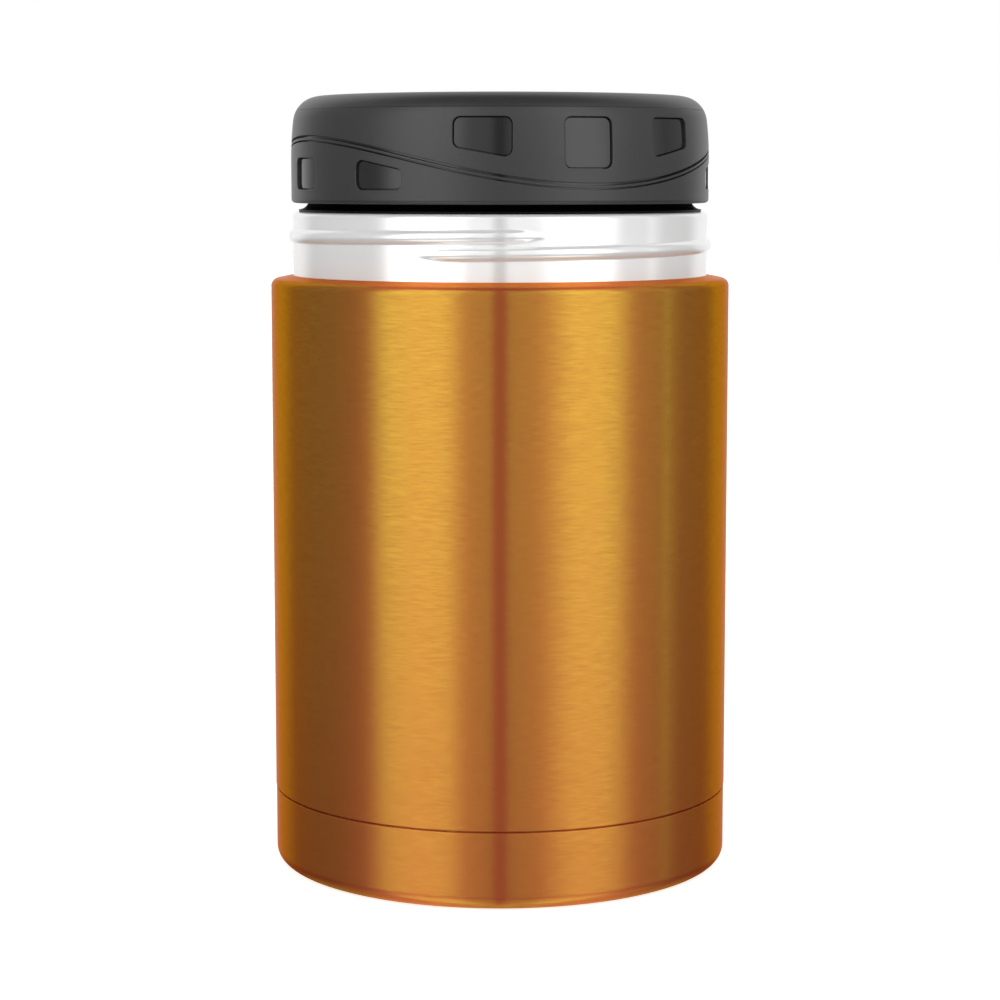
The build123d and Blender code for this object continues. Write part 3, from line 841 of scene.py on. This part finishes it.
@dataclass(frozen=True)
class LidForm:
    """The lid's outer form: upright, then leaning in on a wide arc, then a tight arc into the flat top."""

    radius: float
    foot_z: float
    top_z: float
    straight: float = 8.7
    side_r: float = 70.0
    side_steps: int = 6
    corner_r: float = 5.5
    corner_steps: int = 12

    def _arcs(self) -> tuple[Point, Point, float]:
        """The wide arc's centre, the tight arc's centre, and the sine of the lean where they meet."""
        wide = (self.radius - self.side_r, self.foot_z + self.straight)
        reach = self.side_r - self.corner_r
        rise = self.top_z - self.corner_r - wide[1]
        return wide, (wide[0] + sqrt(reach**2 - rise**2), wide[1] + rise), rise / reach

    def side(self, z: float, inset: float = 0.0) -> float:
        """The radius at a height, with the form taken in evenly by inset."""
        wide, tight, lean = self._arcs()
        if z <= wide[1]:
            return self.radius - inset
        if z <= wide[1] + (self.side_r - inset) * lean:
            return wide[0] + sqrt((self.side_r - inset) ** 2 - (z - wide[1]) ** 2)
        return tight[0] + sqrt(max((self.corner_r - inset) ** 2 - (z - tight[1]) ** 2, 0.0))

    def at(self, angle: float, z: float, inset: float, across: float = 0.0) -> Place:
        """A place on the side, taken in by inset, at a distance across from the direction of an angle."""
        r = self.side(z, inset)
        return polar(r, radians(angle) + asin(across / r), z)

    def profile(self, low_z: float, inset: float = 0.0) -> list[Point]:
        """The outline's points from a height on the side up to where the flat top begins."""
        wide, tight, sine = self._arcs()
        lean = asin(sine)
        points = arc(wide, self.side_r - inset, 0.0, lean, self.side_steps)[:-1]
        points += arc(tight, self.corner_r - inset, lean, pi / 2 - lean, self.corner_steps)
        return [(self.side(low_z, inset), low_z), *[p for p in points if p[1] > low_z + SUPPORT]]


@dataclass(frozen=True)
class Window:
    """A window in a sleeve, flat across its own middle direction.

    Attributes:
        angle: direction of its middle.
        width: how many degrees it takes up.
        corners_z: heights of its corners, counter-clockwise from the lower left one.
        corner_r: rounding of its corners.
        least_share: the most that the rounding may take of the shortest side.
        corner_steps: faces of a corner.
        side_step: longest face of a side.
    """

    angle: float
    width: float
    corners_z: tuple[float, float, float, float]
    corner_r: float = 1.5
    least_share: float = 0.4
    corner_steps: int = 6
    side_step: float = 0.7

    def loop(self, radius: float, offset: float) -> list[Point]:
        """Its rounded outline, made larger all round by offset.

        Args:
            radius: of the sleeve, from which its width in millimetres follows.
            offset: how much larger than the window.

        Returns:
            Points of (distance across, height), always as many for one window.
        """
        half, z = radius * sin(radians(self.width / 2)), self.corners_z
        corners = [(-half, z[0]), (half, z[1]), (half, z[2]), (-half, z[3])]
        round_r = min(self.corner_r, self.least_share * min(z[3] - z[0], z[2] - z[1], 2 * half))
        arcs = []
        for k, here in enumerate(corners):
            after = corners[(k + 1) % 4]
            arcs.append(corner_arc(corners[k - 1], here, after, round_r, self.corner_steps, offset))
        points: list[Point] = []
        for k, here in enumerate(corners):
            length = hypot(corners[(k + 1) % 4][0] - here[0], corners[(k + 1) % 4][1] - here[1])
            points += arcs[k]
            points += along(arcs[k][-1], arcs[(k + 1) % 4][0], splits(length, self.side_step, least=2))
        return points


@dataclass
class Rim:
    """One edge of a sleeve: rings of points from its outer face, round the edge, to its inner face.

    Attributes:
        rings: point numbers of each ring, from the outer face to the inner one.
        flat: for the outer and the inner face, the edge's places as (distance round, height).
        closed: True for a window, False for an edge that runs round the lid.
    """

    rings: list[list[int]]
    flat: tuple[list[Point], list[Point]]
    closed: bool


@dataclass
class Sleeve:
    """A thin sleeve of the lid's skin between two edges, with windows through it and every edge rounded.

    Attributes:
        form: the lid's form.
        skin: thickness of the sleeve.
        low: height of the lower edge at an angle.
        high: height of the upper edge at an angle.
        low_edge: rounding of the lower edge.
        high_edge: rounding of the upper edge.
        windows: what is cut through it.
        seam: an angle clear of the windows, where the flat layout starts and ends.
        edge: rounding of the windows' edges.
        columns: points along the lower edge and the upper one.
        row_step: height between rows of free points on the outer face.
        clear: how far free points keep from an edge.
        steps: faces of a rounding.
        mesh: what the sleeve is gathered in.
    """

    form: LidForm
    skin: float
    low: Callable[[float], float]
    high: Callable[[float], float]
    low_edge: float
    high_edge: float
    windows: Sequence[Window] = ()
    seam: float = 157.0
    edge: float = 0.12
    columns: int = 360
    row_step: float = 1.0
    clear: float = 0.4
    steps: int = 4
    mesh: MeshMaker = field(default_factory=MeshMaker)

    def made(self, name: str) -> bpy.types.Object:
        """Makes the sleeve as a closed mesh."""
        around = [self.seam + ROUND * k / self.columns for k in range(self.columns)]
        low = self._rim(self.low_edge, lambda offset, _: [(a, self.low(a) + offset) for a in around])
        high = self._rim(self.high_edge, lambda offset, _: [(a, self.high(a) - offset) for a in around])
        holes = [self._rim(self.edge, partial(self._window_line, window), closed=True) for window in self.windows]
        self.mesh.bands(low.rings[::-1])
        for rim in (high, *holes):
            self.mesh.bands(rim.rings)
        for side in (0, 1):
            self._face(low, high, holes, side)
        return self.mesh.made(name)

    def _rim(self, edge: float, line: Callable[[float, float], list[Point]], closed: bool = False) -> Rim:
        """An edge, from its rounding and from the line of (angle, height) at an offset and a depth."""
        rings, places = [], []
        for offset, depth in edge_steps(edge, self.steps, self.skin):
            turned = line(offset, depth)
            rings.append(self.mesh.ring([self.form.at(a, z, depth) for a, z in turned]))
            places.append([(self._across(a), z) for a, z in turned])
        return Rim(rings, (places[0], places[-1]), closed)

    def _window_line(self, window: Window, offset: float, depth: float) -> list[Point]:
        """A window's line. It is cut straight through, towards the window's middle direction."""
        loop = window.loop(self.form.radius, offset)
        return [(window.angle + degrees(asin(x / self.form.side(z, depth))), z) for x, z in loop]

    def _across(self, angle: float) -> float:
        """Distance round the lid from the seam."""
        return radians((angle - self.seam) % ROUND) * self.form.radius

    def _face(self, low: Rim, high: Rim, holes: Sequence[Rim], side: int) -> None:
        """Fills the outer face, side 0, or the inner one, side 1, with triangles between the edges."""
        girth = 2 * pi * self.form.radius
        places: list[Point] = []
        numbers: list[int] = []
        edges: list[tuple[int, int]] = []
        for rim in (low, high, *holes):
            first, flat, ring = len(places), list(rim.flat[side]), list(rim.rings[-side])
            if rim.closed:
                edges.append((first + len(flat) - 1, first))
            else:
                flat.append((girth, flat[0][1]))
                ring.append(ring[0])
            places += flat
            numbers += ring
            edges += [(first + k, first + k + 1) for k in range(len(flat) - 1)]
        free = self._free_places(low, high, holes, side)
        turned = [(self.seam + degrees(u / self.form.radius), z) for u, z in free]
        made = self.mesh.ring([self.form.at(a, z, self.skin * side) for a, z in turned])
        at_seam = [(z, number) for (u, z), number in zip(free, made) if u == 0.0]
        places += [*free, *[(girth, z) for z, _ in at_seam]]
        numbers += [*made, *[number for _, number in at_seam]]
        for end in (0.0, girth):
            column = sorted((k for k, (u, _) in enumerate(places) if u == end), key=lambda k: places[k][1])
            edges += list(zip(column, column[1:]))
        points, _, faces, origins, _, _ = delaunay_2d_cdt([Vector(p) for p in places], edges, [], 0, MERGE)
        corners = np.array([tuple(f) for f in faces])
        across, level = np.array([tuple(p) for p in points])[corners].mean(axis=1).T
        count = self.columns + 1
        floor, ceiling = (np.array(places[k * count : (k + 1) * count]).T for k in (0, 1))
        keep = (level > np.interp(across, *floor)) & (level < np.interp(across, *ceiling))
        for hole in holes:
            keep &= ~inside(np.column_stack([across, level]), np.array(hole.flat[side]))
        for face in corners[keep]:
            ids = [numbers[origins[k][0]] for k in face]
            self.mesh.faces.append(tuple(ids[::-1] if side else ids))

    def _free_places(self, low: Rim, high: Rim, holes: Sequence[Rim], side: int) -> list[Point]:
        """A grid of places on a face, clear of its edges."""
        rows = np.arange(self.form.foot_z, self.form.top_z, self.row_step * (1 + side))
        grid = np.array([(u, z) for u, _ in low.flat[side] for z in rows])
        floor, ceiling = (np.repeat([z for _, z in rim.flat[side]], len(rows)) for rim in (low, high))
        keep = (grid[:, 1] > floor + self.clear) & (grid[:, 1] < ceiling - self.clear)
        for hole in holes:
            loop = np.array(hole.flat[side])
            centre = (loop.min(axis=0) + loop.max(axis=0)) / 2
            half = (loop.max(axis=0) - loop.min(axis=0)) / 2
            keep &= ~inside(grid, centre + (loop - centre) * (1 + self.clear / half))
        return [tuple(map(float, p)) for p in grid[keep]]


def inside(places: np.ndarray, loop: np.ndarray) -> np.ndarray:
    """Which places lie inside a closed loop.

    Args:
        places: an array of places, one to a row.
        loop: the loop's corners in order.

    Returns:
        One True or False for each place.
    """
    result = np.zeros(len(places), bool)
    for (x0, y0), (x1, y1) in zip(loop, np.roll(loop, -1, axis=0)):
        if y0 != y1:
            crosses = (y0 > places[:, 1]) != (y1 > places[:, 1])
            result ^= crosses & (places[:, 0] < (x1 - x0) * (places[:, 1] - y0) / (y1 - y0) + x0)
    return result


@dataclass(frozen=True)
class Wave:
    """The two-crested wave round the lid's side, and the two fine lines along it."""

    middle_z: float
    amplitude: float = 4.72
    crest: float = 205.2
    upper_line: float = 0.46
    lower_line: float = 0.28
    pitch: float = 0.9

    def z(self, angle: float, below: float = 0.0) -> float:
        """Height at an angle, lowered from the middle of the upper line."""
        return self.middle_z + self.amplitude * cos(2 * radians(angle - self.crest)) - below


@dataclass(frozen=True)
class WindowGroup:
    """Three windows in a row on one side of the wave, and three more opposite.

    Attributes:
        angle: the middle of the first three.
        phase: 0 for a group at the wave's crest, 90 for one at its trough.
        spacing: degrees between neighbours.
        widths: of the middle window and of the two beside it, in degrees.
        gaps: from the wave to the middle window and to the two beside it.
    """

    angle: float
    phase: float
    spacing: float
    widths: tuple[float, float]
    gaps: tuple[float, float]

    def windows(self, wave: Wave, level_z: float) -> list[Window]:
        """All six windows, with their edges away from the wave at one height."""
        above = self.phase > 0
        made = []
        for opposite in (0, 180):
            for side in (-1, 0, 1):
                width = self.widths[abs(side)]
                gap = self.gaps[abs(side)] * (1 if above else -1)
                ends = [
                    wave.z(wave.crest + self.phase + side * (self.spacing + tilt * width / 2 * side)) + gap
                    for tilt in ((-1, 1) if side else (0, 0))
                ]
                heights = (*ends, level_z, level_z) if above else (level_z, level_z, ends[1], ends[0])
                made.append(Window(self.angle + opposite + side * self.spacing, width, heights))
        return made


@dataclass
class Lid:
    """The stopper lid: sleeves over a core, the plug that screws into the mouth, the seal and the foam."""

    dresser: Dresser
    skin: float = 1.1
    foot_edge: float = 0.8
    parting: float = 0.02
    parting_edge: float = 0.03
    high_group: WindowGroup = WindowGroup(-66.4, phase=90.0, spacing=28.1, widths=(13.5, 15.4), gaps=(3.0, 3.9))
    high_margin: float = 1.9
    low_group: WindowGroup = WindowGroup(204.7, phase=0.0, spacing=31.8, widths=(13.5, 14.5), gaps=(4.2, 2.8))
    low_margin: float = 2.8
    pad_inset: float = 0.55
    pad_clearance: float = 0.15
    pad_edge: float = 0.12
    pad_rows: int = 6
    band_height: float = 18.8
    core_wall: float = 2.0
    dish_r: float = 30.0
    dish_depth: float = 0.5
    dish_corner: float = 0.2
    dish_edge: float = 0.3
    wave_height: float = 8.62
    strip_edge: float = 0.1
    strip_columns: int = 720
    edge_faces: int = 3
    plug_wall: float = 2.0
    flange: float = 3.2
    groove: float = 1.2
    plug_thread_proud: float = 1.08
    plug_thread_height: float = 9.5
    plug_thread_step: float = 0.2
    base_thickness: float = 2.0
    base_edge: float = 1.2
    spigot_wall: float = 1.6
    seal_lip: float = 0.45
    seal_flare: float = 1.95
    seal_flare_r: float = 2.2
    seal_flare_steps: int = 8
    seal_clearance: float = 0.3

    def __post_init__(self) -> None:
        """Reads the main extents from the frame."""
        self.core = Extent.of("lid_core")
        self.plug = Extent.of("stopper_plug")
        self.base = Extent.of("stopper_base")
        self.seal = Extent.of("rim_seal")
        self.form = LidForm(Extent.of("lid_lower_shell").radius, self.core.low, Extent.of("lid_top_cover").high)
        self.part_z = self.core.low + self.band_height
        self.wave = Wave(self.core.low + self.wave_height)
        self.high_windows = self.high_group.windows(self.wave, self.part_z - self.high_margin)
        self.low_windows = self.low_group.windows(self.wave, self.form.foot_z + self.low_margin)

    def build(self) -> None:
        """Builds and dresses every part of the lid."""
        self._sleeves()
        self._strip()
        self._cover()
        self._core()
        self._plug()
        self._base()
        self._seal()
        self.dresser.keep("lid_joint_ring", "lid_insulation")

    def _sleeves(self) -> None:
        """The windowed sleeves above and below the wave."""
        wave = self.wave
        upper = Sleeve(
            self.form,
            self.skin,
            low=lambda angle: wave.z(angle, -wave.upper_line / 2),
            high=lambda angle: self.part_z - self.parting / 2,
            low_edge=Sleeve.edge,
            high_edge=self.parting_edge,
            windows=self.high_windows,
        )
        lower = Sleeve(
            self.form,
            self.skin,
            low=lambda angle: self.form.foot_z,
            high=lambda angle: wave.z(angle, wave.pitch + wave.lower_line / 2),
            low_edge=self.foot_edge,
            high_edge=Sleeve.edge,
            windows=self.low_windows,
        )
        self.dresser.dress(upper.made("sleeve_above_wave"), "lid_upper_shell")
        self.dresser.dress(lower.made("sleeve_below_wave"), "lid_lower_shell")

    def _strip(self) -> None:
        """The strip between the wave's two lines."""
        e, steps = self.strip_edge, self.edge_faces
        top, foot = self.wave.upper_line / 2, self.wave.pitch - self.wave.lower_line / 2
        section = [
            (foot, self.skin),
            *arc((foot - e, e), e, 0.0, -pi / 2, steps),
            *arc((top + e, e), e, -pi / 2, -pi / 2, steps),
            (top, self.skin),
        ]
        angles = [ROUND * k / self.strip_columns for k in range(self.strip_columns)]
        mesh = MeshMaker()
        rings = [
            mesh.ring([self.form.at(a, self.wave.z(a, below), inset) for a in angles]) for below, inset in section
        ]
        mesh.bands([*rings, rings[0]])
        self.dresser.dress(mesh.made("wave_strip"), "wave_trim")

    def _cover(self) -> None:
        """The top cover with its shallow dish."""
        low_z, top = self.part_z + self.parting / 2, self.form.top_z
        outside = self.form.profile(low_z + self.parting_edge)
        within = self.form.profile(low_z, self.skin)
        dish = [
            outside[-1],
            (self.dish_r, top, self.dish_edge),
            (self.dish_r, top - self.dish_depth, self.dish_corner),
            (0.0, top - self.dish_depth),
            (0.0, top - self.skin),
            within[-1],
        ]
        start = (outside[0][0] - self.parting_edge, low_z)
        outline = Outline([start, *outside[:-1], *Outline.of(dish).points, *reversed(within[:-1])])
        self.dresser.turn("top_cover", "lid_top_cover", outline)

    def _core(self) -> None:
        """The glossy cap inside the sleeves."""
        top, bore = self.form.top_z - self.skin, self.core.radius - self.core_wall
        corners = [
            (bore, self.form.foot_z),
            *self.form.profile(self.form.foot_z, self.skin),
            (0.0, top),
            (0.0, top - self.core_wall),
            (bore, top - self.core_wall),
        ]
        mesh = Outline.of(corners).mesh()
        for window in self.high_windows + self.low_windows:
            self._pad(mesh, window)
        self.dresser.dress(mesh.made("lid_cap"), "lid_core")

    def _pad(self, mesh: MeshMaker, window: Window) -> None:
        """Adds the core's raised pad in a window: a closed shell that stands in the core's wall.

        Args:
            mesh: the core's mesh.
            window: the window that the pad fills, apart from the clearance round it.
        """
        middle_z = sum(window.corners_z) / len(window.corners_z)

        def ring(offset: float, depth: float, share: float = 1.0) -> list[int]:
            loop = window.loop(self.form.radius, -self.pad_clearance - offset) if share else [(0.0, middle_z)]
            places = [(x * share, middle_z + (z - middle_z) * share) for x, z in loop]
            return mesh.ring([self.form.at(window.angle, z, self.pad_inset + depth, x) for x, z in places])

        foot = self.skin - self.pad_inset + SUPPORT
        levels = edge_steps(self.pad_edge, self.edge_faces, foot)
        face = [ring(*levels[0], share=k / self.pad_rows) for k in range(self.pad_rows)]
        mesh.bands([ring(0.0, foot, share=0.0), *[ring(*level) for level in reversed(levels)], *reversed(face)])

    def _plug(self) -> None:
        """The plug with its flange, its groove and one moulded thread."""
        low, foot, bead_r, wall_r = self.plug.low, self.form.foot_z, self.plug.radius, self.base.radius
        bore, groove_r = wall_r - self.plug_wall, bead_r - self.groove
        groove_low, groove_high = (foot + (self.flange + s * self.groove) / 2 for s in (-1, 1))
        corners = [
            (bore, low),
            (wall_r, low, EDGE),
            (wall_r, foot, EDGE),
            (bead_r, foot),
            (bead_r, groove_low),
            (groove_r, groove_low),
            (groove_r, groove_high),
            (bead_r, groove_high),
            (bead_r, self.plug.high),
            (bore, self.plug.high),
        ]
        thread = Thread(
            wall_r=wall_r,
            start_z=low + self.plug_thread_height,
            half_width=self.plug_thread_proud,
            height=self.plug_thread_proud,
            least_r=wall_r - self.plug_wall / 2,
            step=self.plug_thread_step,
        )
        self.dresser.turn("plug_wall", "stopper_plug", Outline.of(corners), thread)

    def _base(self) -> None:
        """The cap that closes the plug, with its spigot."""
        r, low, high = self.base.radius, self.base.low, self.base.high
        top, bore = low + self.base_thickness, r - self.plug_wall
        spigot_r = bore - self.spigot_wall
        corners = [
            (0.0, low),
            (r, low, self.base_edge),
            (r, top),
            (bore, top),
            (bore, high),
            (spigot_r, high),
            (spigot_r, top),
            (0.0, top),
        ]
        self.dresser.turn("plug_base", "stopper_base", Outline.of(corners))

    def _seal(self) -> None:
        """The seal on the rim, with its flared lip."""
        r, low, high, inner = self.seal.radius, self.seal.low, self.seal.high, self.base.radius + self.seal_clearance
        lip, top = Vector((r, low + self.seal_lip)), Vector((r - self.seal_flare, high))
        chord = top - lip
        away = sqrt(self.seal_flare_r**2 - (chord.length / 2) ** 2)
        centre = (lip + top) / 2 + Vector((chord.y, -chord.x)).normalized() * away
        spoke = lip - centre
        turn = -spoke.angle_signed(top - centre)
        flare = arc(centre, self.seal_flare_r, atan2(spoke.y, spoke.x), turn, self.seal_flare_steps)
        outline = Outline([(inner, low), (r - EDGE, low), (r, low + EDGE), *flare, (inner, high)])
        self.dresser.turn("seal_ring", "rim_seal", outline)


# --- Studio ---


@dataclass(frozen=True)
class Panel:
    """An upright soft-edged panel of light round the scene.

    Attributes:
        azimuth: its middle, in degrees from the camera's side and growing to the right.
        half_width: degrees from its middle to the middle of its soft edge.
        soft: width of the soft edge.
        level: what it adds to the light from there.
    """

    azimuth: float
    half_width: float
    soft: float
    level: float

    def light(self, x: Value, y: Value, flat: Value) -> Value:
        """What it adds in a direction, of which flat is the level part."""
        aside, ahead = sin(radians(self.azimuth)), -cos(radians(self.azimuth))
        apart = ((x * aside + y * ahead) / flat).math("ARCCOSINE")
        near, far = (radians(self.half_width + s * self.soft / 2) for s in (-1, 1))
        return apart.mapped(near, far, self.level, 0.0)


@dataclass(frozen=True)
class Ramp:
    """How light changes with height: from one level to another, between two heights in degrees."""

    low: float
    high: float
    low_level: float
    high_level: float

    def light(self, z: Value) -> Value:
        """The level at a height."""
        return z.mapped(sin(radians(self.low)), sin(radians(self.high)), self.low_level, self.high_level)


@dataclass(frozen=True)
class Studio:
    """Camera, surroundings and floor.

    Attributes:
        camera_at: the camera's place, in metres.
        camera_tilt: degrees from looking straight down.
        base: light from all round, to which the panels add.
        overhead: what takes its place where up is 1.
        down: share of the light that comes from below, with under added to it.
        backdrop: the panel behind, which reflections show as the background.
        floor_glow: how strongly the floor glows to the camera.
    """

    camera_at: tuple[float, float, float] = (0.0, -0.5555, 0.1439)
    camera_tilt: float = 82.992
    lens: float = 95.74
    sensor: float = 36.0
    base: float = 0.41
    overhead: float = 0.06
    up: Ramp = Ramp(50.0, 62.0, 0.0, 1.0)
    down: Ramp = Ramp(-24.0, -2.0, 0.06, 1.0)
    under: Ramp = Ramp(-44.0, -26.0, 0.6, 0.0)
    backdrop: Panel = Panel(180.0, 42.0, 30.0, 0.72)
    panels: tuple[Panel, ...] = (
        Panel(0.0, 68.0, 16.0, 0.5),
        Panel(-42.0, 20.3, 15.0, 1.38),
        Panel(45.6, 17.5, 24.0, 1.4),
        Panel(85.0, 14.0, 10.0, 0.26),
        Panel(91.0, 3.0, 4.0, 0.24),
        Panel(0.0, 3.5, 3.5, -0.75),
    )
    floor_r: float = 4000.0
    floor_sides: int = 64
    floor_z: float = -0.05
    floor_colour: float = 0.8
    floor_roughness: float = 0.9
    floor_glow: float = 0.68

    def build(self) -> None:
        """Builds the camera, the surroundings and the floor."""
        self._camera()
        self._surroundings()
        self._floor()

    def _camera(self) -> None:
        """The camera in front."""
        data = bpy.data.cameras.new("camera")
        data.lens = self.lens
        data.sensor_width = self.sensor
        camera = bpy.data.objects.new("camera", data)
        bpy.context.scene.collection.objects.link(camera)
        camera.location = self.camera_at
        camera.rotation_euler = (radians(self.camera_tilt), 0.0, 0.0)
        bpy.context.scene.camera = camera

    def _surroundings(self) -> None:
        """Soft panels of light all round, and a white background."""
        world = bpy.data.worlds.new("studio")
        bpy.context.scene.world = world
        world.use_nodes = True
        graph = Graph(world.node_tree)
        x, y, z = graph.split(graph.add("TexCoord").outputs["Generated"])
        flat = (x * x + y * y).math("SQRT")
        lights = [panel.light(x, y, flat) for panel in (*self.panels, self.backdrop)]
        behind, total = lights[-1], sum(lights, self.base)
        up = self.up.light(z)
        down = self.down.light(z) + self.under.light(z)
        total = total * down
        total = (self.overhead - total) * up + total
        mirrored = graph.ray("Glossy") * (behind / self.backdrop.level * (down * (1.0 - up)))
        seen = graph.ray("Camera").math("ADD", graph.ray("Transmission"), clamp=True).math("MAXIMUM", mirrored)
        strength = (1.0 - total) * seen + total
        background = graph.add("Background", {"Color": (*WHITE, 1.0), "Strength": strength})
        graph.add("OutputWorld", {"Surface": background.outputs[0]})
        bpy.context.scene.view_settings.view_transform = "Standard"

    def _floor(self) -> None:
        """A pale floor, which glows to the camera so that it shows white and keeps a soft shadow."""
        mesh = MeshMaker()
        rim = [polar(self.floor_r, 2 * pi * k / self.floor_sides, self.floor_z) for k in range(self.floor_sides)]
        mesh.bridge(mesh.ring(rim), mesh.ring([(0.0, 0.0, self.floor_z)]))
        floor = mesh.made("floor")
        floor.visible_glossy = False
        material, graph = new_material("pale_floor")
        inputs = {
            "Base Color": (*grey(self.floor_colour), 1.0),
            "Roughness": self.floor_roughness,
            "Specular IOR Level": 0.0,
            "Emission Color": (*WHITE, 1.0),
            "Emission Strength": graph.ray("Camera") * self.floor_glow,
        }
        graph.add("OutputMaterial", {"Surface": graph.add("BsdfPrincipled", inputs).outputs[0]})
        floor.data.materials.append(material)
        floor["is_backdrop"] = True


# --- The whole ---


def write_sizes() -> None:
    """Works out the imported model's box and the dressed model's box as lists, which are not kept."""
    boxes = {"cad": CAD_BOX, "visual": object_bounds()}
    {name: [list(corner) for corner in box] for name, box in boxes.items()}


def main() -> None:
    """Builds the studio, the jar and the lid."""
    logging.basicConfig(level=logging.INFO, format="%(message)s")
    Studio().build()
    dresser = Dresser()
    Jar(dresser).build()
    Lid(dresser).build()
    write_sizes()


if __name__ == "__main__":
    main()
